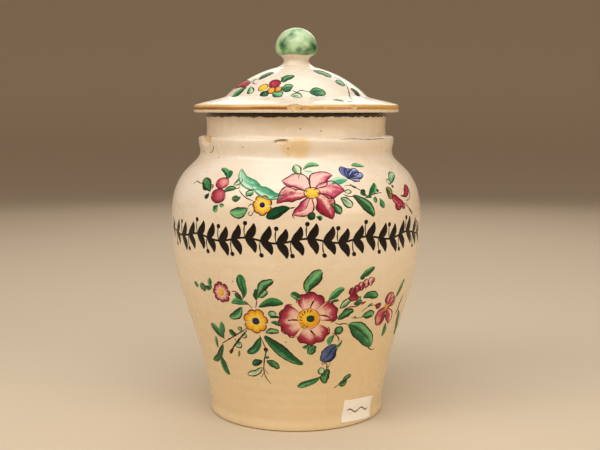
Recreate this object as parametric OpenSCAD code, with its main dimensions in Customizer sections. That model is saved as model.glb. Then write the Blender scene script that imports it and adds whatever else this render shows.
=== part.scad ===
// Lidded apothecary jar: a thrown and glazed earthenware jar with a loose domed lid.
// Millimetres. +Z is up, the origin is the centre of the foot, and the painted front faces -Y.
// Every round piece is turned about the Z axis from an outline of [radius, height] points.

/* [Jar body] */
// Outside radius of the foot
foot_r = 56.8; // [55:0.1:58]
// Height of the upright wall above the foot
foot_wall_h = 7.4; // [6:0.1:9]
// Radius of the belly at its widest
belly_r = 81; // [79:0.1:83]
// Height of the widest point
belly_z = 129.5; // [126:0.5:133]
// Radius where the shoulder runs into the collar
shoulder_r = 64.7; // [64.2:0.1:65.5]
// Height where the shoulder runs into the collar
shoulder_z = 165; // [164:0.5:166]
// Thickness of the thrown wall
wall = 5.5; // [4.5:0.1:6]
// Height of the floor inside the jar
floor_z = 9; // [8:0.5:10]
// Depth of the hollow turned under the foot
recess_h = 3.5; // [2:0.5:4.5]
// Radius of the hollow turned under the foot
recess_r = 49.5; // [46:0.5:51]

/* [Collar and neck] */
// Radius of the collar at its narrow root
collar_root_r = 62.1; // [61.8:0.1:62.4]
// Radius of the collar's upper edge
collar_r = 63.1; // [62.8:0.1:63.6]
// Height of the ledge on top of the collar
collar_z = 180; // [178:0.5:182]
// Radius of the neck at its waist
neck_r = 57.6; // [57.2:0.1:58]
// Radius of the neck just under the lip
lip_r = 58.1; // [57.8:0.1:58.5]
// Height of the lip, where the lid rests
mouth_z = 195.2; // [194:0.1:197]
// Radius of the mouth bore
mouth_r = 52.5; // [52:0.1:53]

/* [Lid] */
// Radius of the brim
brim_r = 66; // [65:0.1:67]
// Thickness of the brim at its edge
brim_t = 5.2; // [4.5:0.1:6]
// Radius of the dome where it rises from the brim
dome_r = 44.4; // [44:0.1:45]
// Rise of the dome's crown above the lip
crown_h = 29.2; // [28.5:0.1:30]
// Outside radius of the locating flange
flange_r = 51; // [50:0.1:51.3]
// Thickness of the locating flange
flange_t = 4.5; // [3.5:0.1:5]
// Depth of the locating flange
flange_h = 11; // [8:0.5:13]

/* [Knob] */
// Height of the knob with its stem
knob_h = 24.8; // [24:0.1:26]
// Radius of the knob at its widest
knob_r = 13.5; // [12.8:0.1:14]
// Radius of the stem at its waist
stem_r = 8.1; // [7:0.1:8.5]
// Radius of the stem's base
stem_base_r = 11.5; // [11:0.1:12]

/* [Paper label] */
// Length of the label round the jar
label_w = 26; // [20:1:30]
// Height of the label
label_h = 15.6; // [10:0.1:16]
// Thickness of the label
label_t = 0.2; // [0.1:0.05:0.3]
// Height of the label's middle
label_z = 10.4; // [10:0.1:14]
// Angle from the front of the jar to the label's middle
label_turn = 43; // [0:1:90]
// Slope of the label, as it was stuck on
label_tilt = 4; // [0:1:5]

/* [Hidden] */
$fn = 96;

glaze_colour = [0.93, 0.87, 0.76];
knob_colour = [0.62, 0.76, 0.55];
paper_colour = [0.96, 0.94, 0.89];

foot_round = 1.2;
collar_round = 1.4;
lip_round_out = 2.6;
lip_round_in = 1.6;
brim_round_low = 1.2;
brim_round_high = 1.8;
flange_round = 1.2;
inner_corner = 10;

crown_z = mouth_z + crown_h;
knob_top_z = crown_z + knob_h;

// ---- curves ----

// Point at t along a cubic Bezier curve
function bezier_at(p, t) =
    pow(1 - t, 3) * p[0] + 3 * pow(1 - t, 2) * t * p[1] + 3 * (1 - t) * t * t * p[2] + pow(t, 3) * p[3];

// Points along a cubic Bezier curve, both ends included
function bezier(p, steps) = [for (i = [0 : steps]) bezier_at(p, i / steps)];

// Points along a round arc from angle a0 to angle a1
function arc(centre, r, a0, a1, steps = 4) =
    [for (i = [0 : steps]) centre + r * [cos(a0 + (a1 - a0) * i / steps), sin(a0 + (a1 - a0) * i / steps)]];

module turned(outline) rotate_extrude() polygon(outline);

// ---- outlines ----

// Outside of the jar from the foot up to the belly: upright at the foot, then flaring in one sweep
lower_wall = bezier([[foot_r, foot_wall_h], [foot_r + 9, belly_z - 61.5],
                     [belly_r, belly_z - 54.5], [belly_r, belly_z]], 20);

// Outside of the jar from the belly over the shoulder to the collar
upper_wall = bezier([[belly_r, belly_z], [belly_r, belly_z + 23.4],
                     [shoulder_r + 6, shoulder_z - 6.2], [shoulder_r, shoulder_z]], 14);

foot_outline = concat(
    [[0, recess_h], [recess_r - 2, recess_h], [recess_r, 0.5], [recess_r + 0.5, 0]],
    arc([foot_r - foot_round, foot_round], foot_round, -90, 0));

collar_outline = concat(
    bezier([[shoulder_r, shoulder_z], [shoulder_r - 1.7, shoulder_z + 2],
            [collar_root_r, shoulder_z + 3.4], [collar_root_r, shoulder_z + 5.6]], 5),
    bezier([[collar_root_r, shoulder_z + 5.6], [collar_root_r, shoulder_z + 8.5],
            [collar_r, collar_z - 6], [collar_r, collar_z - collar_round]], 5),
    arc([collar_r - collar_round, collar_z - collar_round], collar_round, 0, 90));

neck_outline = concat(
    arc([neck_r + 0.3 + collar_round, collar_z + collar_round], collar_round, 270, 180),
    bezier([[neck_r + 0.3, collar_z + collar_round], [neck_r - 0.1, collar_z + 5],
            [neck_r, collar_z + 8], [lip_r, mouth_z - lip_round_out]], 5),
    arc([lip_r - lip_round_out, mouth_z - lip_round_out], lip_round_out, 0, 90));

inside_outline = concat(
    arc([mouth_r + lip_round_in, mouth_z - lip_round_in], lip_round_in, 90, 180),
    bezier([[mouth_r, shoulder_z + 7], [mouth_r, shoulder_z + 2.5],
            [mouth_r + 3, shoulder_z - 0.5], [mouth_r + 7.5, shoulder_z - 4.4]], 5),
    bezier([[mouth_r + 7.5, shoulder_z - 4.4], [mouth_r + 15.5, shoulder_z - 10.5],
            [belly_r - wall, belly_z + 20.5], [belly_r - wall, belly_z]], 12),
    bezier([[belly_r - wall, belly_z], [belly_r - wall, belly_z - 54.5],
            [foot_r + 9 - wall, belly_z - 61.5], [foot_r - wall, floor_z + inner_corner]], 16),
    arc([foot_r - wall - inner_corner, floor_z + inner_corner], inner_corner, 0, -90),
    [[0, floor_z]]);

// ---- pieces ----

module jar_body() {
    color(glaze_colour)
    turned(concat(foot_outline, lower_wall, upper_wall, collar_outline, neck_outline, inside_outline));
}

// The cover: a brim that overhangs the neck, a dome, and a small flat land for the knob
module lid_dome() {
    inner_r = flange_r - flange_t;
    brim_top = mouth_z + brim_t;
    color(glaze_colour)
    turned(concat(
        [[inner_r, mouth_z]],
        arc([brim_r - brim_round_low, mouth_z + brim_round_low], brim_round_low, -90, 0),
        arc([brim_r - brim_round_high, brim_top - brim_round_high], brim_round_high, 0, 75),
        bezier([[brim_r - 3, brim_top + 0.3], [brim_r - 8, brim_top + 1.8],
                [dome_r + 5.6, brim_top + 3.2], [dome_r + 3.2, brim_top + 4.1]], 6),
        bezier([[dome_r + 1.6, brim_top + 4.7], [dome_r - 12.4, crown_z - 5.6],
                [stem_base_r + 6.5, crown_z - 1.8], [stem_base_r + 0.6, crown_z - 0.4]], 16),
        [[stem_base_r + 0.2, crown_z], [0, crown_z]],
        bezier([[0, crown_z - 5.8], [inner_r - 26.5, crown_z - 7],
                [inner_r - 5.5, mouth_z + 11], [inner_r, mouth_z + 1.3]], 14)));
}

// The ring under the cover, which drops into the mouth with loose clearance
module lid_flange() {
    flange_in = flange_r - flange_t;
    flange_low = mouth_z - flange_h;
    color(glaze_colour)
    turned(concat(
        [[flange_in, mouth_z]],
        arc([flange_in + flange_round, flange_low + flange_round], flange_round, 180, 270),
        arc([flange_r - flange_round, flange_low + flange_round], flange_round, -90, 0),
        [[flange_r, mouth_z]]));
}

// A flattened ball on a short waisted stem
module lid_knob() {
    waist_z = crown_z + 3.9;
    ball_low_z = crown_z + 7.3;
    ball_z = crown_z + 11.8;
    color(knob_colour)
    turned(concat(
        [[0, crown_z]],
        bezier([[stem_base_r, crown_z], [stem_r + 1.5, crown_z + 1],
                [stem_r, waist_z - 1.7], [stem_r, waist_z]], 7),
        bezier([[stem_r, waist_z], [stem_r, waist_z + 1.3],
                [stem_r + 1.1, ball_low_z - 0.7], [stem_r + 3, ball_low_z]], 6),
        bezier([[stem_r + 3, ball_low_z], [knob_r - 0.5, ball_low_z + 0.9],
                [knob_r, ball_z - 2.2], [knob_r, ball_z]], 7),
        bezier([[knob_r, ball_z], [knob_r, ball_z + 7.2],
                [knob_r - 5.8, knob_top_z], [0, knob_top_z]], 14)));
}

// A small sticker that follows the wall just above the foot
module paper_label() {
    band = concat([[foot_r, foot_round], [foot_r, foot_wall_h]],
                  [for (p = lower_wall) if (p[1] > foot_wall_h && p[1] < 2 * label_z + label_h) p]);
    band_out = [for (p = band) [p[0] + label_t, p[1]]];
    band_back = [for (i = [len(band) - 1 : -1 : 0]) band[i]];
    color(paper_colour)
    intersection() {
        turned(concat(band_out, band_back));
        rotate([0, 0, label_turn])
        translate([0, -foot_r, label_z])
        rotate([0, label_tilt, 0])
        cube([label_w, foot_r, label_h], center = true);
    }
}

jar_body();
lid_dome();
lid_flange();
lid_knob();
paper_label();
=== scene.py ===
"""Looks of the lidded apothecary jar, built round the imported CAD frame.

Lengths are metres, and MM turns millimetres into them. Azimuth 0 is the painted front (-Y) and grows to the
right of someone facing it. Every turned piece is a lathe mesh on the outline read from its own CAD node.
"""

import math
from functools import partial

import bpy
import numpy as np
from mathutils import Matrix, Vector, noise


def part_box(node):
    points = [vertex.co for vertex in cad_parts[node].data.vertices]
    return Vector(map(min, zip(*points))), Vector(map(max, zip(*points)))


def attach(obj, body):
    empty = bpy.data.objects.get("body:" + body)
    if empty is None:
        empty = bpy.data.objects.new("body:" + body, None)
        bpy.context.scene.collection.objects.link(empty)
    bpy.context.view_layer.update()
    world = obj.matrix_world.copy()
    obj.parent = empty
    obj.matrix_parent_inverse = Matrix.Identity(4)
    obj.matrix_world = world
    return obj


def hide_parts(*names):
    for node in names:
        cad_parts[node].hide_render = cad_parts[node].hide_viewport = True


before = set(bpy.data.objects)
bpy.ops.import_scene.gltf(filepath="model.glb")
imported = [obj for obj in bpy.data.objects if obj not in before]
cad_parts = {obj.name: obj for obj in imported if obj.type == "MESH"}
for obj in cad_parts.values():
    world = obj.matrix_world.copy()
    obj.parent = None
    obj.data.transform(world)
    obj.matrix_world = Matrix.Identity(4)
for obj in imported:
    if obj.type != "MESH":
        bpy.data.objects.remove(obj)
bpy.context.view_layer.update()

MM = 0.001
JAR_BODY = "jar"
LID_BODY = "lid"

MOUTH_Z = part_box("jar_body")[1].z
BRIM_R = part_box("lid_dome")[1].x
CROWN_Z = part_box("lid_dome")[1].z
KNOB_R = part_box("lid_knob")[1].x

# Radius of the neck just under the lip, as in part.scad
LIP_R = 58.1 * MM

# Each thrown piece is out of round in its own way, which starts at its phase
JAR_PHASE = 0.0
LID_PHASE = 1.3
KNOB_PHASE = 2.2

# Dark blots on the knob: azimuth in degrees, height above the crown and radius in millimetres
KNOB_BLOTS = (
    (-38, 14.6, 3.8),
    (62, 13.4, 4.2),
    (36, 9.0, 3.4),
    (-14, 18.4, 2.6),
    (8, 10.4, 2.0),
    (120, 16.0, 4.0),
    (165, 10.5, 4.2),
    (-150, 15.5, 3.8),
    (-100, 10.5, 4.0),
    (100, 10.0, 2.8),
)


# ---------------------------------------------------------------- camera

# Fitted to the jar's outline in the photo. The tilt is in degrees, and the lens in millimetres.
CAMERA_BACK = 0.6495
CAMERA_UP = 0.1973
CAMERA_RIGHT = 0.0024
CAMERA_TILT = 6.65
CAMERA_LENS = 59.66

camera = bpy.data.objects.new("camera", bpy.data.cameras.new("camera"))
bpy.context.scene.collection.objects.link(camera)
bpy.context.scene.camera = camera
camera.location = (CAMERA_RIGHT, -CAMERA_BACK, CAMERA_UP)
camera.rotation_euler = (math.radians(90 - CAMERA_TILT), 0, 0)
camera.data.lens = CAMERA_LENS
camera.data.clip_end = 20


# ---------------------------------------------------------------- outlines read from the frame

SECTION_TURN = math.radians(0.7)

# An outline turns by less than STRAIGHT in a straight run, and by more than CORNER at a corner to keep
STRAIGHT = math.radians(0.25)
CORNER = math.radians(38)

# Points that are closer than this are one point
SAME_SPOT = 5e-6


def section(node):
    """The outline of a turned CAD node, as ordered (radius, height) points, from one cut through its axis."""
    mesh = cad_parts[node].data
    mesh.calc_loop_triangles()
    co = np.array([v.co for v in mesh.vertices])
    out = np.array([math.cos(SECTION_TURN), math.sin(SECTION_TURN), 0])
    side = np.array([-out[1], out[0], 0])
    depth = co @ side
    flat = np.stack([co @ out, co[:, 2]], 1)
    links = {}
    for tri in mesh.loop_triangles:
        corners = tri.vertices
        ends = []
        for a, b in zip(corners, (corners[1], corners[2], corners[0])):
            if (depth[a] > 0) == (depth[b] > 0):
                continue
            if depth[a] < depth[b]:
                a, b = b, a
            share = depth[a] / (depth[a] - depth[b])
            ends.append(flat[a] + share * (flat[b] - flat[a]))
        if len(ends) < 2 or max(ends[0][0], ends[1][0]) <= 0:
            continue
        keys = [(round(max(e[0], 0.0), 6), round(e[1], 6)) for e in ends]
        if keys[0] != keys[1]:
            links.setdefault(keys[0], set()).add(keys[1])
            links.setdefault(keys[1], set()).add(keys[0])
    loose = [k for k, v in links.items() if len(v) == 1]
    chain = [min(loose or links, key=lambda k: k[1])]
    while True:
        onward = [k for k in links[chain[-1]] if k not in chain[-2:]]
        if not onward or onward[0] == chain[0]:
            break
        chain.append(onward[0])
    points = np.array(chain)
    if not loose:
        points = np.vstack([points, points[:1]])
    r, z = points[:, 0], points[:, 1]
    area = np.sum(r[:-1] * z[1:] - r[1:] * z[:-1])
    return points if area > 0 else points[::-1]


def turns(points):
    """The angle by which an outline turns at each of its inner points."""
    step = np.diff(points, axis=0)
    heading = np.unwrap(np.arctan2(step[:, 1], step[:, 0]))
    return np.abs(np.diff(heading))


def curve_through(points, step):
    """Points about every step along the smooth curve through points (a cubic with chord-length tangents)."""
    chord = np.linalg.norm(np.diff(points, axis=0), axis=1)
    slope = np.diff(points, axis=0) / chord[:, None]
    tangent = np.vstack([slope[:1], slope[-1:]]) if len(points) == 2 else np.zeros_like(points)
    if len(points) > 2:
        weight = (chord[1:] / (chord[1:] + chord[:-1]))[:, None]
        tangent[1:-1] = weight * slope[:-1] + (1 - weight) * slope[1:]
        tangent[0] = 1.5 * slope[0] - 0.5 * tangent[1]
        tangent[-1] = 1.5 * slope[-1] - 0.5 * tangent[-2]
    made = [points[:1]]
    for i, length in enumerate(chord):
        n = max(1, math.ceil(length / step))
        t = (np.arange(1, n + 1) / n)[:, None]
        made.append(
            (2 * t**3 - 3 * t**2 + 1) * points[i]
            + (t**3 - 2 * t**2 + t) * length * tangent[i]
            + (3 * t**2 - 2 * t**3) * points[i + 1]
            + (t**3 - t**2) * length * tangent[i + 1]
        )
    return np.vstack(made)


def outline_of(node, step):
    """A turned node's outline with its straight runs thinned, its curves smoothed and its corners kept."""
    points = section(node)
    keep = np.concatenate([[True], turns(points) > STRAIGHT, [True]])
    points = points[keep]
    gap = np.concatenate([[1], np.linalg.norm(np.diff(points, axis=0), axis=1)])
    points = points[gap > SAME_SPOT]
    corners = [0] + [i + 1 for i, a in enumerate(turns(points)) if a > CORNER] + [len(points) - 1]
    runs = [curve_through(points[a : b + 1], step) for a, b in zip(corners, corners[1:])]
    smooth = np.vstack([runs[0]] + [run[1:] for run in runs[1:]])
    return np.clip(smooth, points.min(axis=0), points.max(axis=0))


# ---------------------------------------------------------------- the potter's unevenness and the damage

RIDGE_GAP = 6.5 * MM
RIDGE_HEIGHT = 0.035 * MM

# A bite leaves the points that are more than BITE_REACH half sizes out, and those on its open side
BITE_REACH = 1.25
BITE_OPEN = 0.55

# Degrees between the points round a lathe mesh: at damage, and at the least
DAMAGE_STEP = 0.22
LEAST_STEP = 0.12


def unevenness(az, r, z, phase):
    """How far the thrown surface stands outside a true circle: out of round, and faint throwing ridges."""
    round_error = (
        0.20 * np.cos(2 * az + 0.7 + phase + 6 * z)
        + 0.10 * np.cos(3 * az + 2.1 * phase - 11 * z)
        + 0.04 * np.cos(5 * az + phase + 31 * z)
    )
    wander = 0.8 * np.sin(az + phase) + 0.5 * np.sin(2 * az + 40 * z)
    ridges = RIDGE_HEIGHT * np.sin(2 * np.pi * z / RIDGE_GAP + wander) * (0.6 + 0.4 * np.sin(3 * az + 90 * z))
    calm = np.clip(r / (30 * MM), 0, 1)
    return (round_error * MM + ridges) * calm


class Bite:
    """A chip: a rounded scoop out of an edge, with bare clay in it where bare is more than 0.

    turn is the azimuth in degrees. In millimetres, r and z are its middle, and wide, deep and tall its half
    sizes.
    """

    def __init__(self, turn, r, z, wide, deep, tall, rough=0.12, bare=1.0):
        self.az = math.radians(turn)
        self.middle = np.array([0, r, z]) * MM
        self.size = np.array([wide, deep, tall]) * MM
        self.rough = rough
        self.bare = bare

    def cut(self, az, r, z):
        """Moves the points that lie in the scoop onto its wall, and returns how bare each point is."""
        _, middle_r, middle_z = self.middle
        local = np.stack([middle_r * (az - self.az), r - middle_r, z - middle_z], 1) / self.size
        reach = np.linalg.norm(local, axis=1)
        inside = np.where(reach < BITE_REACH)[0]
        bare = np.zeros(len(az))
        for i in inside:
            heading = local[i] / max(reach[i], 1e-6)
            wall = 1 + self.rough * noise.noise(Vector(heading * 2.3 + middle_z * 900))
            wall += 0.35 * self.rough * noise.noise(Vector(heading * 7.0 + 5.0))
            if reach[i] < wall and heading[1] < BITE_OPEN:
                moved = heading * wall * self.size
                az[i] = self.az + moved[0] / middle_r
                r[i] = middle_r + moved[1]
                z[i] = middle_z + moved[2]
                bare[i] = self.bare
        return bare


def fan_of_angles(count, dense=()):
    """Azimuths round a full turn, and more of them where dense lists damage as (degrees, half width)."""
    angles = [np.linspace(-np.pi, np.pi, count, endpoint=False)]
    for middle, half in dense:
        angles.append(np.radians(np.arange(middle - half, middle + half, DAMAGE_STEP)))
    angles = np.unique(np.round(np.concatenate(angles), 5))
    gaps = np.diff(np.append(angles, angles[0] + 2 * np.pi))
    return angles[gaps > math.radians(LEAST_STEP)]


def round_points(az, r, z):
    """Points at an azimuth, a distance from the axis and a height."""
    return np.stack([r * np.sin(az), -r * np.cos(az), z], -1)


def rings(outline, angles):
    """The azimuth, radius and height of each point of a lathe grid, with a row for each outline point."""
    az = np.tile(angles, len(outline))
    r = np.repeat(outline[:, 0], len(angles))
    z = np.repeat(outline[:, 1], len(angles))
    return az, r, z


def grid_faces(rows, columns, wrap=True):
    """Quads of a grid of points in row order, closed round its columns where wrap is set."""
    across = np.arange(columns if wrap else columns - 1)
    low = (np.arange(rows - 1)[:, None] * columns + across).ravel()
    nxt = (np.arange(rows - 1)[:, None] * columns + (across + 1) % columns).ravel()
    return np.stack([low, nxt, nxt + columns, low + columns], 1)


def sheet_faces(rows, columns):
    """Faces of a thin closed sheet: a grid of points, the same grid below it, and the rim between them."""
    quads = grid_faces(rows, columns, wrap=False)
    count = rows * columns
    ids = np.arange(count).reshape(rows, columns)
    rim = np.concatenate([ids[0, :-1], ids[:-1, -1], ids[-1, :0:-1], ids[:0:-1, 0]])
    after = np.roll(rim, -1)
    return np.vstack([quads, quads[:, ::-1] + count, np.stack([after, rim, rim + count, after + count], 1)])


def mesh_object(name, verts, faces, material, attributes=None):
    """A smooth-shaded object from points and faces, with float or colour attributes on its points."""
    mesh = bpy.data.meshes.new(name)
    mesh.from_pydata([tuple(v) for v in verts], [], [tuple(f) for f in faces])
    for key, values in (attributes or {}).items():
        values = np.asarray(values, np.float32)
        kind = {1: "FLOAT", 3: "FLOAT_VECTOR", 4: "FLOAT_COLOR"}[1 if values.ndim == 1 else values.shape[1]]
        field = {"FLOAT": "value", "FLOAT_VECTOR": "vector", "FLOAT_COLOR": "color"}[kind]
        mesh.attributes.new(key, kind, "POINT").data.foreach_set(field, values.ravel())
    mesh.polygons.foreach_set("use_smooth", [True] * len(mesh.polygons))
    mesh.update()
    obj = bpy.data.objects.new(name, mesh)
    bpy.context.scene.collection.objects.link(obj)
    mesh.materials.append(material)
    return obj


def lathe(name, outline, angles, material, phase, bites=()):
    """Turns an outline about Z, moves each point by the unevenness, and takes the bites out of it."""
    on_axis = outline[:, 0] < 1e-6
    body = outline[~on_axis]
    closed = not on_axis.any()
    if closed:
        body = body[:-1]
    rows, columns = len(body), len(angles)
    az, r, z = rings(body, angles)
    r = r + unevenness(az, r, z, phase)
    bare = np.zeros(len(az))
    for bite in bites:
        bare = np.maximum(bare, bite.cut(az, r, z))
    verts = round_points(az, r, z)
    faces = [tuple(f) for f in grid_faces(rows, columns)]
    if closed:
        last = (rows - 1) * columns
        faces += [(last + i, last + (i + 1) % columns, (i + 1) % columns, i) for i in range(columns)]
    else:
        for end, row in ((0, 0), (-1, rows - 1)):
            verts = np.vstack([verts, [0, 0, outline[end, 1]]])
            bare = np.append(bare, 0)
            hub, first = len(verts) - 1, row * columns
            ring = [(first + i, first + (i + 1) % columns) for i in range(columns)]
            faces += [(hub, b, a) if end == 0 else (hub, a, b) for a, b in ring]
    return mesh_object(name, verts, faces, material, {"bare": bare})


# ---------------------------------------------------------------- materials


def srgb(r, g, b):
    """A colour given as 0-255 screen values, as the linear values that a shader wants."""
    screen = (r / 255, g / 255, b / 255)
    return tuple(c / 12.92 if c <= 0.04045 else ((c + 0.055) / 1.055) ** 2.4 for c in screen)


class Nodes:
    """Short names for building a material's node tree."""

    def __init__(self, name):
        self.material = bpy.data.materials.new(name)
        self.material.use_nodes = True
        self.tree = self.material.node_tree
        self.shader = self.tree.nodes["Principled BSDF"]
        self.place = self.node("TexCoord").outputs["Object"]

    def node(self, kind, **settings):
        """A new node of the given kind, with its settings."""
        made = self.tree.nodes.new(f"ShaderNode{kind}")
        for key, value in settings.items():
            setattr(made, key, value)
        return made

    def link(self, source, target):
        """Joins a socket to a socket, or sets it to a number, vector or colour."""
        if isinstance(source, bpy.types.NodeSocket):
            self.tree.links.new(source, target)
        elif isinstance(source, tuple) and len(source) == 3 and target.type == "RGBA":
            target.default_value = (*source, 1)
        else:
            target.default_value = source

    def math(self, operation, a, b=0.0, clamp=False):
        node = self.node("Math", operation=operation, use_clamp=clamp)
        self.link(a, node.inputs[0])
        self.link(b, node.inputs[1])
        return node.outputs[0]

    def times(self, a, b, clamp=False):
        return self.math("MULTIPLY", a, b, clamp)

    def plus(self, a, b, clamp=False):
        return self.math("ADD", a, b, clamp)

    def noise(self, scale, detail=3.0, rough=0.55, vector=None, distortion=0.0):
        node = self.node("TexNoise")
        numbers = {"Scale": scale, "Detail": detail, "Roughness": rough, "Distortion": distortion}
        for key, number in numbers.items():
            node.inputs[key].default_value = number
        self.link(vector or self.place, node.inputs["Vector"])
        return node.outputs["Fac"]

    def cells(self, scale):
        node = self.node("TexVoronoi")
        node.inputs["Scale"].default_value = scale
        self.link(self.place, node.inputs["Vector"])
        return node

    def ramp(self, value, low, high, a=0.0, b=1.0):
        """value's stretch from low to high, as a smooth step from a to b."""
        node = self.node("MapRange", interpolation_type="SMOOTHSTEP")
        self.link(value, node.inputs["Value"])
        numbers = {"From Min": low, "From Max": high, "To Min": a, "To Max": b}
        for key, number in numbers.items():
            node.inputs[key].default_value = number
        return node.outputs["Result"]

    def mix(self, share, a, b):
        """Colour a, with a share of colour b."""
        node = self.node("Mix", data_type="RGBA")
        self.link(share, node.inputs["Factor"])
        self.link(a, node.inputs[6])
        self.link(b, node.inputs[7])
        return node.outputs[2]

    def attribute(self, name, output):
        return self.node("Attribute", attribute_name=name).outputs[output]

    def axes(self, vector=None):
        node = self.node("SeparateXYZ")
        self.link(vector or self.place, node.inputs[0])
        return node.outputs

    def from_axis(self):
        """The distance from the jar's axis."""
        x, y, _ = self.axes()
        return self.math("SQRT", self.plus(self.times(x, x), self.times(y, y)))

    def wobble(self, scale, reach, detail=2.0):
        """A slow drift of at most about half of reach either way."""
        return self.times(self.math("SUBTRACT", self.noise(scale, detail), 0.5), reach)

    def scaled(self, vector, scale):
        node = self.node("VectorMath", operation="MULTIPLY")
        self.link(vector, node.inputs[0])
        node.inputs[1].default_value = scale
        return node.outputs[0]

    def bump(self, height, distance, strength=1.0, under=None):
        node = self.node("Bump")
        node.inputs["Distance"].default_value = distance
        node.inputs["Strength"].default_value = strength
        self.link(height, node.inputs["Height"])
        if under is not None:
            self.link(under, node.inputs["Normal"])
        return node.outputs[0]

    def near(self, centre, radius, soft=0.5):
        """1 inside a ball round centre and 0 outside it, both in millimetres, with a soft border."""
        node = self.node("VectorMath", operation="DISTANCE")
        self.link(self.place, node.inputs[0])
        node.inputs[1].default_value = [c * MM for c in centre]
        return self.ramp(node.outputs["Value"], radius * (1 + soft) * MM, radius * (1 - soft) * MM)

    def set(self, **values):
        """Sets the shader's sockets, named with _ for a space, and returns the finished material."""
        for key, value in values.items():
            self.link(value, self.shader.inputs[key.replace("_", " ")])
        return self.material


CREAM = srgb(236, 224, 209)
CREAM_WARM = srgb(231, 214, 191)
CREAM_COOL = srgb(239, 230, 213)
CREAM_OLD = srgb(216, 190, 146)
# Tan of the glaze near the foot, which also stands for painted shade on the lower belly
CREAM_TAN_AND_SHADE = srgb(229, 203, 156)
LID_WHITE = srgb(232, 221, 205)
BISCUIT = srgb(222, 190, 138)
BISCUIT_DARK = srgb(188, 148, 96)
# Dark dirt for specks and seams; at the lip it also paints the shadow in the gap under the brim
DIRT_AND_SHADOW = srgb(24, 15, 9)
STAIN = srgb(226, 190, 128)
FLOOR_PALE = srgb(206, 190, 166)
FLOOR_FAR = srgb(186, 166, 142)
OCHRE = srgb(214, 168, 82)
OCHRE_DARK = srgb(136, 70, 12)
KNOB_PALE = srgb(186, 212, 168)
KNOB_GREEN = srgb(94, 158, 98)
KNOB_DEEP = srgb(18, 86, 46)
# Darker green on the lower part of the knob's ball
KNOB_LOW_GREEN = srgb(66, 136, 82)
PAPER_WHITE = srgb(253, 250, 245)
PAPER_GREY = srgb(246, 241, 231)
PAPER_OLD = srgb(222, 206, 174)
PEN_INK = srgb(36, 34, 44)


def glaze_base(nodes):
    """The clouded colour of the old tin glaze, which the callers paint over."""
    tint = nodes.mix(nodes.ramp(nodes.noise(16, 2), 0.35, 0.65), CREAM, CREAM_WARM)
    tint = nodes.mix(nodes.ramp(nodes.noise(45, 3), 0.5, 0.75, 0, 0.55), tint, CREAM_COOL)
    pools = nodes.scaled(nodes.place, (0.25, 0.25, 1.0))
    return nodes.mix(nodes.ramp(nodes.noise(190, 2, vector=pools), 0.52, 0.72, 0, 0.2), tint, CREAM_OLD)


def finish_glaze(nodes, tint, bare=None):
    """Adds specks, bare biscuit, gloss and relief to a glaze colour."""
    specks = nodes.cells(170)
    pick = nodes.ramp(specks.outputs["Color"], 0.955, 0.965)
    dot = nodes.ramp(specks.outputs["Distance"], 0.10, 0.06)
    spot = nodes.times(pick, dot)
    tint = nodes.mix(nodes.times(spot, 0.75), tint, DIRT_AND_SHADOW)
    bare = nodes.attribute("bare", "Fac") if bare is None else bare
    clay = nodes.mix(nodes.ramp(nodes.noise(320, 4, 0.7), 0.35, 0.7), BISCUIT, BISCUIT_DARK)
    tint = nodes.mix(bare, tint, clay)
    gloss = nodes.ramp(nodes.noise(60, 4), 0.3, 0.8, 0.24, 0.36)
    rough = nodes.plus(gloss, nodes.times(bare, 0.6), clamp=True)
    skin = nodes.bump(nodes.noise(230, 2), 0.00012, 0.5)
    pits = nodes.bump(nodes.times(spot, -1.0), 0.0002, 1.0, skin)
    grain = nodes.times(bare, nodes.noise(1500, 3, 0.7))
    relief = nodes.bump(grain, 0.0004, 1.0, pits)
    return nodes.set(
        Base_Color=tint, Roughness=rough, Normal=relief, Coat_Weight=0.2, Coat_Roughness=0.1, IOR=1.5
    )


def jar_glaze():
    """Cream turning tan towards the foot, partly its own tone and partly painted shade; a stained collar, a
    lip darkened by dirt and painted shadow, and bare clay at edges.
    """
    nodes = Nodes("jar_glaze_paintable")
    z = nodes.axes()["Z"]
    # Towards the foot the cream turns tan: partly the old glaze's own tone, partly painted shade of the lower
    # belly
    tint = nodes.mix(nodes.ramp(z, 165 * MM, 30 * MM, 0, 0.84), glaze_base(nodes), CREAM_TAN_AND_SHADE)
    wander = nodes.noise(260, 3, vector=nodes.scaled(nodes.place, (1, 1, 0.3)))
    patches = nodes.near((2.5, -63, 175), 6.5, 0.45), nodes.near((-4, -63, 174.4), 5, 0.4)
    stain = nodes.math("MAXIMUM", *patches)
    tint = nodes.mix(nodes.times(stain, nodes.ramp(wander, 0.2, 0.7, 0.45, 0.8)), tint, STAIN)
    lip = nodes.plus(z, nodes.times(wander, 2.6 * MM))
    # The top of the lip is darkened: dirt, and painted shadow in the gap under the brim
    lip_dirt_and_shadow = nodes.ramp(lip, MOUTH_Z - 1.5 * MM, MOUTH_Z - 1.2 * MM)
    inner = nodes.ramp(nodes.from_axis(), LIP_R - 1.9 * MM, LIP_R - 2.6 * MM)
    tint = nodes.mix(nodes.times(lip_dirt_and_shadow, 0.97), tint, DIRT_AND_SHADOW)
    foot = nodes.ramp(nodes.plus(z, nodes.times(wander, -1.2 * MM)), 0.35 * MM, 0.05 * MM)
    tint = nodes.mix(nodes.times(foot, 0.85), tint, BISCUIT_DARK)
    worn = nodes.times(nodes.times(lip_dirt_and_shadow, inner), 0.8)
    return finish_glaze(nodes, tint, nodes.math("MAXIMUM", nodes.attribute("bare", "Fac"), worn))


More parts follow.
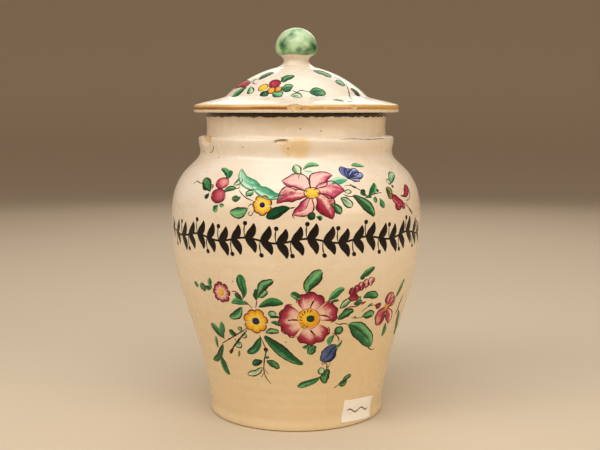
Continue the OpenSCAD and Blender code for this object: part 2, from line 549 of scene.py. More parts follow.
def lid_glaze():
    """Whiter glaze, with an ochre band round the brim and a dark streak in the band, heavier at the left."""
    nodes = Nodes("lid_glaze_banded")
    x, _, z = nodes.axes()
    tint = nodes.mix(0.7, glaze_base(nodes), LID_WHITE)
    level = nodes.plus(z, nodes.wobble(38, 1.2 * MM))
    outer = nodes.ramp(nodes.from_axis(), BRIM_R - 2.6 * MM, BRIM_R - 2.0 * MM)
    top = nodes.ramp(level, MOUTH_Z + 4.8 * MM, MOUTH_Z + 4.4 * MM)
    bottom = nodes.ramp(level, MOUTH_Z + 1.3 * MM, MOUTH_Z + 1.7 * MM)
    band = nodes.times(outer, nodes.times(top, bottom))
    drift = nodes.ramp(nodes.noise(22, 2), 0.35, 0.65, 0.15, 0.75)
    heavy = nodes.plus(drift, nodes.ramp(x, -2 * MM, -9 * MM, 0, 0.6), clamp=True)
    above = nodes.ramp(level, MOUTH_Z + 3.5 * MM, MOUTH_Z + 3.0 * MM)
    below = nodes.ramp(level, MOUTH_Z + 1.5 * MM, MOUTH_Z + 2.1 * MM)
    streak = nodes.times(heavy, nodes.times(above, below))
    ochre = nodes.mix(streak, OCHRE, OCHRE_DARK)
    return finish_glaze(nodes, nodes.mix(nodes.times(band, 0.92), tint, ochre))


def flange_glaze():
    """Glaze that is worn off the lower edge of the ring."""
    nodes = Nodes("flange_glaze_worn")
    level = nodes.plus(nodes.axes()["Z"], nodes.times(nodes.noise(90, 3), 4 * MM))
    worn = nodes.ramp(level, MOUTH_Z - 7.5 * MM, MOUTH_Z - 9 * MM)
    return finish_glaze(nodes, glaze_base(nodes), worn)


def knob_glaze():
    """Pale green washed over the ball, with darker blots, over the cream glaze of the stem."""
    nodes = Nodes("knob_glaze_mottled")
    z = nodes.axes()["Z"]
    cloud = nodes.noise(120, 2, distortion=0.5)
    wash = nodes.mix(nodes.ramp(cloud, 0.42, 0.68), KNOB_PALE, KNOB_GREEN)
    for turn, height, size in KNOB_BLOTS:
        reach = 0.94 * KNOB_R / MM * math.cos(math.radians(abs(height - 11.5) * 5))
        a = math.radians(turn)
        centre = (reach * math.sin(a), -reach * math.cos(a), CROWN_Z / MM + height)
        blot = nodes.near(centre, size, 0.55)
        wash = nodes.mix(nodes.times(blot, nodes.ramp(cloud, 0.3, 0.6, 0.35, 0.95)), wash, KNOB_DEEP)
    level = nodes.plus(z, nodes.wobble(50, 4 * MM, 1))
    # The lower part of the ball is a darker green
    wash = nodes.mix(nodes.ramp(level, CROWN_Z + 9.8 * MM, CROWN_Z + 7.6 * MM, 0, 0.6), wash, KNOB_LOW_GREEN)
    green = nodes.ramp(level, CROWN_Z + 7.0 * MM, CROWN_Z + 7.4 * MM)
    tint = nodes.mix(green, nodes.mix(0.7, glaze_base(nodes), LID_WHITE), wash)
    seam = nodes.ramp(z, CROWN_Z + 0.45 * MM, CROWN_Z + 0.15 * MM)
    patch = nodes.ramp(nodes.noise(48, 2), 0.5, 0.56)
    return finish_glaze(nodes, nodes.mix(nodes.times(seam, patch), tint, DIRT_AND_SHADOW))


def paper():
    """Matt white paper with a faded pen flourish, which follows the label's own millimetres."""
    nodes = Nodes("label_paper_matt")
    fibre = nodes.noise(900, 4, 0.7, nodes.scaled(nodes.place, (1, 1, 2.5)))
    tint = nodes.mix(nodes.ramp(fibre, 0.3, 0.75), PAPER_WHITE, PAPER_GREY)
    tint = nodes.mix(nodes.ramp(nodes.noise(70, 3), 0.5, 0.8, 0, 0.3), tint, PAPER_OLD)
    x, y, _ = nodes.axes(nodes.attribute("sheet", "Vector"))
    wave = nodes.times(nodes.math("SINE", nodes.times(x, 0.62)), 1.1)
    off_line = nodes.math("ABSOLUTE", nodes.math("SUBTRACT", y, wave))
    within = nodes.ramp(nodes.math("ABSOLUTE", x), 9.6, 9.2)
    ink = nodes.times(within, nodes.ramp(off_line, 0.6, 0.35, 0, 0.9))
    tint = nodes.mix(ink, tint, PEN_INK)
    return nodes.set(Base_Color=tint, Roughness=0.82, Normal=nodes.bump(fibre, 0.00008))


def backdrop():
    """A plain pale floor that turns browner far behind the object, where it rises into a wall."""
    nodes = Nodes("floor_pale")
    far = nodes.ramp(nodes.from_axis(), 0.9, 2.2)
    return nodes.set(Base_Color=nodes.mix(far, FLOOR_PALE, FLOOR_FAR), Roughness=0.9)


# ---------------------------------------------------------------- the clay pieces

COLLAR_CHIPS = [
    Bite(-62, 65.2, 177.6, 9.6, 3.0, 6.2, 0.10, 0.0),
    Bite(-61, 63.4, 179.4, 5.6, 2.2, 2.8, 0.16, 1.0),
    Bite(-8.0, 64.4, 178.6, 6.2, 2.2, 2.4, 0.2, 0.35),
    Bite(118, 64.6, 180.0, 3.6, 2.4, 2.0, 0.15, 0.8),
]
BRIM_CHIPS = [
    Bite(-0.6, 67.8, 199.2, 5.2, 3.3, 4.0, 0.2, 0.85),
    Bite(5.0, 67.0, 197.8, 2.4, 1.8, 1.8, 0.2, 0.6),
    Bite(14, 67.4, 198.6, 7.4, 1.8, 1.8, 0.12, 0.75),
    Bite(31.5, 67.2, 199.4, 3.8, 2.3, 3.0, 0.2, 0.8),
    Bite(-140, 67.2, 196.4, 3.4, 2.2, 2.0, 0.15, 0.8),
]

JAR_OUTLINE = outline_of("jar_body", 1.1 * MM)
LID_OUTLINE = outline_of("lid_dome", 0.8 * MM)

jar_angles = fan_of_angles(360, [(-62, 11), (-8, 7), (118, 5)])
jar = lathe("jar_thrown", JAR_OUTLINE, jar_angles, jar_glaze(), JAR_PHASE, COLLAR_CHIPS)
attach(jar, JAR_BODY)
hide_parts("jar_body")

cover_angles = fan_of_angles(360, [(6, 16), (31.5, 5), (-140, 5)])
cover = lathe("lid_cover", LID_OUTLINE, cover_angles, lid_glaze(), LID_PHASE, BRIM_CHIPS)
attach(cover, LID_BODY)
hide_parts("lid_dome")

flange_outline = outline_of("lid_flange", 0.8 * MM)
flange = lathe("lid_locating_ring", flange_outline, fan_of_angles(300), flange_glaze(), LID_PHASE)
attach(flange, LID_BODY)
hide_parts("lid_flange")

knob_outline = outline_of("lid_knob", 0.45 * MM)
knob = lathe("lid_ball_knob", knob_outline, fan_of_angles(160), knob_glaze(), KNOB_PHASE)
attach(knob, LID_BODY)
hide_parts("lid_knob")


# ---------------------------------------------------------------- enamel painting


class Wall:
    """The outside of a turned piece, to paint on: a place on it is (azimuth, distance up its outline)."""

    def __init__(self, outline, phase):
        self.phase = phase
        self.r, self.z = outline[:, 0], outline[:, 1]
        self.s = np.concatenate([[0], np.cumsum(np.linalg.norm(np.diff(outline, axis=0), axis=1))])
        along = np.gradient(outline, self.s, axis=0)
        along /= np.linalg.norm(along, axis=1)[:, None]
        self.out_r, self.out_z = along[:, 1], -along[:, 0]

    def points(self, az, s, lift):
        """Points at a height of lift above the wall, which has the same unevenness as its lathe mesh."""
        r = np.interp(s, self.s, self.r)
        z = np.interp(s, self.s, self.z)
        far = r + unevenness(az, r, z, self.phase) + lift * np.interp(s, self.s, self.out_r)
        up = z + lift * np.interp(s, self.s, self.out_z)
        return round_points(az, far, up)

    def in_front(self, x, z):
        """The place on the wall that EYE sees through a point of the upright pane on the axis.

        Where the line of sight passes the wall by, it is the place that the line comes nearest to.
        """
        aim = np.array([x, 0, z]) * MM - EYE
        steps = np.arange(SIGHT_FROM, SIGHT_TO, SIGHT_STEP)
        gaps = [self.gap(EYE + step * aim) for step in steps]
        first = next((i for i, gap in enumerate(gaps) if gap < 0), None)
        if first is None:
            spot = EYE + steps[int(np.argmin(gaps))] * aim
        else:
            low, high = steps[first] - SIGHT_STEP, steps[first]
            for _ in range(HALVINGS):
                middle = (low + high) / 2
                if self.gap(EYE + middle * aim) > 0:
                    low = middle
                else:
                    high = middle
            spot = EYE + high * aim
        return math.atan2(spot[0], -spot[1]), float(np.interp(spot[2], self.z, self.s))

    def gap(self, spot):
        """How far a point is outside the wall, straight out from the axis."""
        return math.hypot(spot[0], spot[1]) - np.interp(spot[2], self.z, self.r)


EYE = np.array([CAMERA_RIGHT, -CAMERA_BACK, CAMERA_UP])

# Where a line of sight is searched for the wall, as shares of its length to the pane
SIGHT_FROM = 0.8
SIGHT_TO = 1.2
SIGHT_STEP = 0.005
HALVINGS = 12

# How far a stroke's rim and its hidden underside lie below the wall
RIM_DEPTH = 0.02 * MM
UNDER_DEPTH = 0.09 * MM

# Heights of the enamel above the wall, in millimetres: washes, then dabs over them, then lines over both
FILL = 0.05
OVER = 0.09
LINE = 0.13

# Each pigment is (thin wash, thick stroke); GREEN, BROWN, RED and OCHRE_INK draw the outlines
LEAF = (srgb(122, 188, 124), srgb(6, 62, 30))
LEAF_DARK = (srgb(56, 136, 78), srgb(4, 40, 20))
LEAF_PALE = (srgb(208, 220, 182), srgb(46, 132, 80))
LEAF_BLUE = (srgb(196, 226, 198), srgb(26, 122, 80))
OLIVE = (srgb(160, 164, 92), srgb(48, 52, 18))
PINK = (srgb(240, 196, 184), srgb(158, 26, 64))
CRIMSON = (srgb(242, 206, 182), srgb(134, 14, 42))
BERRY = (srgb(236, 172, 160), srgb(136, 14, 40))
YELLOW = (srgb(250, 210, 66), srgb(220, 152, 18))
ORANGE = (srgb(240, 168, 56), srgb(180, 84, 14))
BLUE = (srgb(160, 170, 212), srgb(34, 38, 116))
NAVY = (srgb(96, 112, 160), srgb(8, 14, 50))
PURPLE = (srgb(64, 34, 100), srgb(24, 10, 56))
GREEN = (srgb(28, 62, 32), srgb(12, 36, 18))
BROWN = (srgb(104, 50, 34), srgb(54, 22, 14))
OCHRE_INK = (srgb(170, 96, 20), srgb(112, 52, 10))
RED = (srgb(136, 32, 44), srgb(86, 14, 26))
MANGANESE = (srgb(40, 22, 16), srgb(10, 5, 4))

dice = np.random.default_rng(31)


def left_of(spine):
    """The direction to the left of a line at each of its points."""
    along = np.gradient(spine, axis=0)
    along /= np.linalg.norm(along, axis=1)[:, None]
    return np.stack([-along[:, 1], along[:, 0]], 1)


class Brush:
    """Enamel strokes on one wall. A stroke is a thin closed shell; the strokes of one layer make one object.

    Strokes are laid out in millimetres right of and above middle, on the upright pane of Wall.in_front.
    """

    def __init__(self, wall, middle, turn=0, size=1.0):
        self.wall = wall
        self.middle = middle
        self.turn = math.radians(turn)
        self.size = size
        self.layers = {}

    def place(self, spot):
        x, z = spot
        az, s = self.wall.in_front(self.middle[0] + x * self.size, self.middle[1] + z * self.size)
        return az + self.turn, s

    def span(self, base, tip):
        """The place of base, and where tip is from there, in millimetres along the wall."""
        az, s = self.place(base)
        tip_az, tip_s = self.place(tip)
        r = np.interp((s + tip_s) / 2, self.wall.s, self.wall.r)
        return (az, s), np.array([(tip_az - az) * r, tip_s - s]) / MM

    def shell(self, layer, home, x, y, height, pigment, wash):
        """Adds one closed shell over a grid of wall points x, y, in millimetres from home.

        It stands height over the wall, and falls steeply to below the wall along its rim.
        """
        rows, columns = x.shape
        u = np.linspace(-1, 1, rows)[:, None]
        v = np.linspace(-1, 1, columns)[None, :]
        rise = (1 - u**8) * (1 - v**8)
        s = home[1] + y * MM
        az = home[0] + x * MM / np.interp(s, self.wall.s, self.wall.r)
        top = self.wall.points(az, s, (height * MM + RIM_DEPTH) * rise - RIM_DEPTH).reshape(-1, 3)
        under = self.wall.points(az, s, np.full_like(az, -UNDER_DEPTH)).reshape(-1, 3)
        faces = sheet_faces(rows, columns)
        across = (x[0, -1] - x[0, 0], y[0, -1] - y[0, 0])
        along = (x[-1, 0] - x[0, 0], y[-1, 0] - y[0, 0])
        if across[0] * along[1] - across[1] * along[0] <= 0:
            faces = faces[:, ::-1]
        stroke = np.stack([x, y, np.full_like(x, dice.uniform(0, 90))], -1).reshape(-1, 3)
        wash = np.clip(np.broadcast_to(wash, x.shape), 0, 1).ravel()
        parts = self.layers.setdefault(layer, [])
        parts.append((np.vstack([top, under]), faces, np.tile(stroke, (2, 1)), np.tile(wash, 2), pigment))

    def stroke(self, layer, home, spine, half, height, pigment, wash):
        """A stroke along spine, in millimetres from home; half is its half width at each spine point."""
        across = max(5, min(11, int(half.max() * 3) | 1))
        normal = left_of(spine)
        v = np.linspace(1, -1, across)[None, :]
        x = spine[:, :1] + normal[:, :1] * half[:, None] * v
        y = spine[:, 1:] + normal[:, 1:] * half[:, None] * v
        self.shell(layer, home, x, y, height, pigment, wash(np.linspace(0, 1, len(spine))[:, None], v))

    def leaf(
        self, base, tip, width, pigment=LEAF, edge=None, dark=0.55,
        bend=0.1, full=0.5, rib=None, blunt=0.68, tip_shade=-0.24, layer="leaves",
    ):
        """A leaf or a pointed petal, width millimetres wide, with edge and rib as the pigments of its lines.

        dark is how thick the pigment lies, and tip_shade how much thicker it is at the tip than at the base.
        A bend to the left is positive, and its inside is the dark side. full says how far along it is widest.
        """
        home, reach = self.span(base, tip)
        length = np.linalg.norm(reach)
        t = np.linspace(0, 1, max(9, min(26, int(length * 1.6))))
        side = np.array([-reach[1], reach[0]])
        wander = 0.05 * width / length * np.sin(t * dice.uniform(6, 10) + dice.uniform(0, 6))
        spine = t[:, None] * reach + (4 * t * (1 - t) * bend + wander)[:, None] * side
        full = min(0.8, full + 0.06)
        swell = (t / full) ** (blunt * full / (1 - full)) * ((1 - t) / (1 - full)) ** blunt
        ripple = 1 + 0.08 * np.sin(t * dice.uniform(7, 13) + dice.uniform(0, 6))
        half = np.maximum(0.5 * width * self.size * swell * ripple, 0.1)
        inside = -math.copysign(1, bend)
        start = dice.uniform(0, 6)

        def wash(u, v):
            streaks = 0.13 * np.sin(4.1 * v + start) + 0.10 * np.sin(9 * v - 2 * u + start)
            shade = 0.30 * inside * v + tip_shade * (u - 0.5) + 0.22 * (np.abs(v) ** 3 - 0.25)
            return dark - 0.03 + shade + 1.5 * np.maximum(0, u - 0.8) * dark + streaks

        self.stroke(layer, home, spine, half, FILL, pigment, wash)
        if edge:
            for way in (1, -1):
                border = spine + way * left_of(spine) * half[:, None]
                self.rule(layer + "_lines", home, border, 0.68, edge)
        if rib:
            self.rule(layer + "_lines", home, spine[1 : int(len(spine) * 0.8)], 0.45, rib)

    def petal(self, base, tip, width, pigment, bend, dark, rib=None):
        """A pointed petal that is pale by the heart of the flower and crimson at its tip."""
        self.leaf(base, tip, 1.08 * width, pigment, RED, dark, bend, 0.44, rib, 1.2, 0.5, "petals")

    def rule(self, layer, home, points, width, pigment):
        """A thin line with tapered ends through wall points in millimetres from home."""
        spine = curve_through(np.asarray(points, float), 0.9)
        t = np.linspace(0, 1, len(spine))
        half = 0.68 * width * (0.35 + 0.65 * np.sin(np.pi * np.clip(t, 0.02, 0.98)) ** 0.5)
        half *= 1 + 0.18 * np.sin(t * len(spine) * 0.9 + dice.uniform(0, 6))
        self.stroke(layer, home, spine, half, LINE, pigment, lambda u, v: 0.8 + 0 * u * v)

    def line(self, spots, width=0.5, pigment=BROWN, layer="stems"):
        """A thin line through pane points."""
        home = self.place(spots[0])
        points = [np.zeros(2)] + [self.span(spots[0], spot)[1] for spot in spots[1:]]
        self.rule(layer, home, points, width, pigment)

    def oval(self, layer, centre, wide, tall, pigment, dark=0.5, edge=None, tilt=0.0, height=OVER):
        """A round dab, wide and tall in millimetres on the wall, darker low and to one side."""
        home = self.place(centre)
        wide, tall = 0.5 * wide * self.size, 0.5 * tall * self.size
        t = np.linspace(0.03, 0.97, 13)
        spine = np.stack([wide * (2 * t - 1), 0 * t], 1)
        half = tall * np.sqrt(1 - (2 * t - 1) ** 2)
        turn = math.radians(tilt)
        rotate = np.array([[math.cos(turn), math.sin(turn)], [-math.sin(turn), math.cos(turn)]])
        start = dice.uniform(0, 6)

        def wash(u, v):
            long = (2 * u - 1) ** 2
            rim = long + v**2 * (1 - long)
            return dark - 0.10 * v + 0.12 * np.sin(5 * u + start) * np.cos(2 * v) + 0.45 * (rim - 0.35)

        self.stroke(layer, home, spine @ rotate, half, height, pigment, wash)
        if edge:
            a = np.linspace(0, 2 * np.pi, 17) + start
            ring = np.stack([wide * np.cos(a), tall * np.sin(a)], 1) @ rotate
            self.rule(layer + "_lines", home, ring, 0.5, edge)

    def fan(
        self, layer, centre, heading, reach, spread, pigment, inner=0.2, scallops=0, edge=None, pale=0.0
    ):
        """A petal that widens from centre, with its heading and half its spread in degrees."""
        home = self.place(centre)
        reach = reach * self.size
        v = np.linspace(1, -1, max(7, int(spread / 3) | 1))[None, :]
        u = np.linspace(inner, 1, 9)[:, None]
        start = dice.uniform(0, 6)
        shape = 1 - 0.20 * np.abs(v) ** 3
        if scallops:
            shape = shape - 0.07 * np.abs(np.cos(0.5 * np.pi * scallops * (v + 1))) ** 3
        rho = u * reach * shape
        angle = np.radians(heading + spread * v * (0.92 + 0.08 * u))
        x, y = rho * np.cos(angle), rho * np.sin(angle)
        rise = 0.04 - pale + 1.15 * u**2.8 + 0.34 * np.abs(v) ** 4 + 0.12 * np.sin(9 * v + start) * u
        self.shell(layer, home, x, y, FILL, pigment, rise)
        if edge:
            border = 0.975 * np.stack([x[-1], y[-1]], 1)
            self.rule(layer + "_lines", home, border, 0.7, edge)

    def blossom(self, layer, centre, radius, petals, pigment, heart, edge, heart_size=0.4, start=0.0):
        """A small open flower: round petals about a dab."""
        for i in range(petals):
            heading = start + 360 * i / petals + dice.uniform(-4, 4)
            reach = radius * dice.uniform(0.93, 1.05)
            self.fan(layer, centre, heading, reach, 186 / petals, pigment, inner=0.25, edge=edge, pale=0.05)
        size = 2 * radius * heart_size
        self.oval(layer, centre, size, size, heart, dark=0.6)

    def done(self, prefix, body):
        """Makes one object of each layer."""
        for layer, parts in self.layers.items():
            verts, faces, strokes, washes, pigments = zip(*parts)
            counts = [len(points) for points in verts]
            starts = np.cumsum([0] + counts[:-1])
            faces = np.vstack([quads + start for quads, start in zip(faces, starts)])
            thin, thick = (
                np.repeat([(*pigment[end], 1) for pigment in pigments], counts, axis=0) for end in (0, 1)
            )
            attributes = {
                "thin": thin,
                "middle": np.sqrt(thin * thick),
                "thick": thick,
                "stroke": np.vstack(strokes),
                "wash": np.concatenate(washes),
            }
            piece = mesh_object(f"{prefix}_{layer}", np.vstack(verts), faces, ENAMEL, attributes)
            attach(piece, body)


def enamel():
    """Overglaze colour: each stroke goes from its thin to its thick pigment, in streaks along the brush.

    A wash of pigment darkens what is under it by a share of what is left, so halfway is the geometric mean.
    """
    nodes = Nodes("enamel_brushed")
    grain = nodes.noise(1.1, 3, 0.6, nodes.attribute("stroke", "Vector"))
    pool = nodes.noise(0.35, 2, 0.5, nodes.attribute("stroke", "Vector"))
    wash = nodes.attribute("wash", "Fac")
    uneven = nodes.plus(nodes.times(grain, 0.5), nodes.times(pool, 0.45))
    wash = nodes.plus(wash, nodes.math("SUBTRACT", uneven, 0.475))
    share = nodes.ramp(wash, 0.0, 1.0)
    first = nodes.times(share, 2.0, clamp=True)
    second = nodes.math("SUBTRACT", nodes.times(share, 2.0), 1.0, clamp=True)
    tint = nodes.mix(first, nodes.attribute("thin", "Color"), nodes.attribute("middle", "Color"))
    tint = nodes.mix(second, tint, nodes.attribute("thick", "Color"))
    relief = nodes.bump(grain, 0.00005, 0.6)
    gloss = nodes.ramp(pool, 0.3, 0.7, 0.24, 0.38)
    shine = {"Coat_Weight": 0.05, "Coat_Roughness": 0.1, "Specular_IOR_Level": 0.24}
    return nodes.set(Base_Color=tint, Roughness=gloss, Normal=relief, **shine)


ENAMEL = enamel()

# The jar's outside runs from the foot to the lip, and the lid's from the edge of the brim to the crown
jar_wall = Wall(JAR_OUTLINE[np.argmin(JAR_OUTLINE[:, 1]) + 1 : np.argmax(JAR_OUTLINE[:, 1])], JAR_PHASE)
lid_wall = Wall(LID_OUTLINE[np.argmax(LID_OUTLINE[:, 0]) :], LID_PHASE)


def upper_spray(brush):
    """The spray on the shoulder: a six-petalled pink flower between berries, a tulip and a red trumpet."""
    leaf, line, oval = brush.leaf, brush.line, brush.oval
    lobe = partial(leaf, layer="petals")
    petals, leaves = "petals", "leaves"
    # pink flower
    brush.petal((-0.6, 1.6), (-19.8, 7.6), 10.4, PINK, -0.14, 0.24)
    brush.petal((-1.4, -0.8), (-23.8, -6.6), 8.4, CRIMSON, -0.14, 0.46)
    brush.petal((-0.6, -1.4), (-13.2, -14.4), 7.6, PINK, 0.16, 0.38, RED)
    brush.petal((1.2, -1.4), (13, -18), 10.2, CRIMSON, 0.14, 0.58)
    brush.petal((1.4, 0), (21.6, 0.4), 9.8, PINK, 0.14, 0.44)
    brush.petal((0.2, 1), (13.2, 11.2), 10, PINK, 0.22, 0.28)
    oval("hearts", (0, 0), 9.4, 7, YELLOW, 0.35, BROWN)
    line([(-12, -12.5), (-12.8, -14.5), (-11.4, -17)], pigment=RED)
    # yellow flower and the twigs round it
    brush.blossom("blossoms", (-32.7, -7.9), 5.9, 7, YELLOW, PURPLE, BROWN, 0.3, 20)
    leaf((-42, -10.3), (-54, -13), 5.8, LEAF, BROWN, 0.35, bend=0.08, blunt=0.8)
    line([(-40.5, -12), (-42, -14), (-40, -14.8), (-38.6, -12.6), (-36.5, -11)], 0.4)
    line([(-37.5, -8.5), (-40.2, -7.4), (-42, -9.4)], 0.4, GREEN)
    line([(-48, 2.3), (-44, -2.6), (-38.3, -5.3)])
    leaf((-46.5, -2.3), (-52.8, -3.8), 4.4, LEAF_DARK, full=0.55)
    leaf((-43.4, -2.3), (-38.5, 0.8), 3.4, LEAF_PALE, GREEN, full=0.55)
    leaf((-51.3, 5.2), (-46, 9.6), 3.6, LEAF_PALE, BROWN, 0.3, bend=-0.1, full=0.55)
    leaf((-57.5, 1.2), (-49.5, 3), 2.6, LEAF, GREEN, full=0.4)
    line([(-50, 3), (-47.8, 3.4), (-47, 5.2)])
    # berries
    oval("berries", (-58.6, 6.6), 9.6, 7.4, BERRY, 0.4, RED)
    oval("berries", (-61.4, -1.8), 11, 8.6, BERRY, 0.6, BROWN)
    line([(-60.6, -4.8), (-60.8, -2.5), (-60, -0.6)], pigment=RED)
    leaf((-55.8, 8.8), (-59.3, 16), 4.2, bend=-0.2, full=0.45)
    leaf((-55.6, 8.8), (-53.6, 15), 3.4, LEAF_DARK, bend=-0.2, full=0.45)
    leaf((-66.8, 0.5), (-71, 8.4), 6.4, LEAF, BROWN, 0.62, bend=-0.1, full=0.55)
    line([(-71.3, 6.4), (-73.2, 6.6), (-75.2, 7.8), (-77.6, 5.6)])
    leaf((-67.2, 0.4), (-70.2, -3.8), 3.8, LEAF_DARK, dark=0.8, bend=0.05, full=0.6)
    leaf((-65.8, 2.8), (-64.6, 5.6), 2.6, OLIVE, BROWN, 0.2)
    leaf((-61.7, -7.2), (-65.2, -11.6), 4.6, dark=0.6, bend=0.12, full=0.6)
    leaf((-60.8, -6.9), (-57.6, -8.4), 2.8, bend=-0.1)
    # ribbon leaf and the leaves by the flower
    leaf((-32.5, 3.6), (-45.4, 15.8), 6.8, LEAF_BLUE, LEAF_BLUE, 0.36, bend=0.18, full=0.4, blunt=1)
    leaf((-19, -1.6), (-38, 6), 6, LEAF_BLUE, LEAF_BLUE, 0.5, bend=0.14, blunt=0.6)
    line([(-26.6, -3.6), (-23.4, -2.4), (-18.6, -1.2), (-16.4, 0.2)])
    leaf((-14.2, -10.4), (-29.8, -17.2), 5.6, LEAF_DARK, GREEN, 0.7, bend=-0.1)
    line([(-11, -9.4), (-13.4, -9.9), (-16.4, -9.6)], 0.6, GREEN)
    leaf((-8.9, 11.4), (-11.9, 18.2), 4.8, LEAF_PALE, OLIVE, 0.3, bend=-0.1)
    line([(-8.4, 8.8), (-8.6, 11), (-7.2, 13)], 0.4, OLIVE)
    leaf((-6.4, 14.9), (4.6, 18), 3.8, dark=0.42, bend=0.2, full=0.55)
    leaf((-5.4, 14.4), (0.6, 13.8), 2.8, LEAF_BLUE, dark=0.3, bend=-0.1)
    oval(leaves, (-0.4, -15.2), 5.2, 5.2, LEAF_DARK, 0.6)
    leaf((2.6, -15.4), (6.4, -18), 3.4, LEAF_DARK, full=0.6)
    leaf((11.4, -7.4), (19.4, -13.6), 4, LEAF, GREEN, 0.5, full=0.6)
    # tulip
    for tip, wide, dark in (
        ((31.4, 8.2), 3.4, 0.2),
        ((20, 17.2), 4.8, 0.6),
        ((33.6, 11.6), 4.6, 0.3),
        ((29.4, 15.2), 5, 0.45),
        ((24.8, 15.8), 4.8, 0.7),
    ):
        lobe((24, 9), tip, wide, BLUE, NAVY, dark, full=0.62, blunt=0.6)
    leaf((25.4, 17.6), (34.6, 17), 3.4, dark=0.4, bend=0.12, full=0.4)
    leaf((11.8, 4.6), (23.2, 8.6), 5.6, LEAF_BLUE, dark=0.5, bend=0.14)
    # twigs to the right
    line([(20.8, 4.6), (24.4, 5), (31, 2.2), (36, -1.4)], 0.4, RED)
    line([(24.8, 5.8), (27, 4.2), (29.4, 3.4)], 1, LEAF, layer="leaves_lines")
    oval(leaves, (23.6, 0.8), 4, 2.4, LEAF_PALE, 0.1, GREEN)
    line([(20.4, -0.8), (25.4, -2.4), (28.2, -1.8)])
    leaf((18.4, -3.8), (26.2, -9.4), 4.8, LEAF_PALE, GREEN, 0.4, full=0.55, rib=GREEN)
    leaf((26.4, -1.8), (40.8, -15.8), 5.6, LEAF, GREEN, 0.66, rib=GREEN)
    leaf((35.8, -3), (40.4, 7), 5, dark=0.6, bend=-0.12, full=0.6)
    leaf((36, -1.6), (31.8, 2), 4.8, LEAF_DARK, dark=0.7, full=0.6)
    leaf((34.6, -3), (39.4, -2.8), 2.2, LEAF_DARK)
    line([(37.6, -2.2), (41.5, -0.4), (45.8, 0.2)], pigment=RED)
    oval(leaves, (42.9, 1.6), 2.2, 2.2, LEAF_DARK, 0.8)
    leaf((41.3, -2.2), (42.6, -6.4), 3.8, bend=-0.1)
    leaf((43.8, -3.4), (46.8, -10.4), 4.4, bend=0.14, full=0.6)
    # trumpet
    leaf((51.4, 5.8), (53.4, 12.8), 4.6, LEAF_PALE, GREEN, 0.5, full=0.55)
    oval(leaves, (50.2, 7.4), 3.2, 3.6, LEAF_PALE, 0.2, BROWN)
    oval(leaves, (52.8, 4.4), 2.4, 2.2, OLIVE, 0.8)
    lobe((50.6, 0.4), (60.4, -6.8), 5.2, BERRY, RED, 0.62, bend=-0.12, full=0.55)
    lobe((58.2, -1.8), (61.4, 5.8), 5.6, BERRY, RED, 0.7, bend=-0.2, full=0.7)
    line([(61.4, 5.4), (63.6, 2), (64.2, -2.4), (61.6, -5)])
    oval(petals, (56.8, -8.7), 6.2, 4.6, BERRY, 0.6, RED)
    oval(petals, (60.2, -8.4), 4.6, 3.4, BERRY, 0.5, RED)
    line([(61.2, -6), (63.4, -9.4), (66, -12.6)], 0.55, OLIVE)
    line([(63.6, -9.8), (66.2, -14)], 1.1, OLIVE)
    leaf((48.8, 3.8), (51.8, -4.2), 4.8, OLIVE, GREEN, 0.4, full=0.4, rib=GREEN)


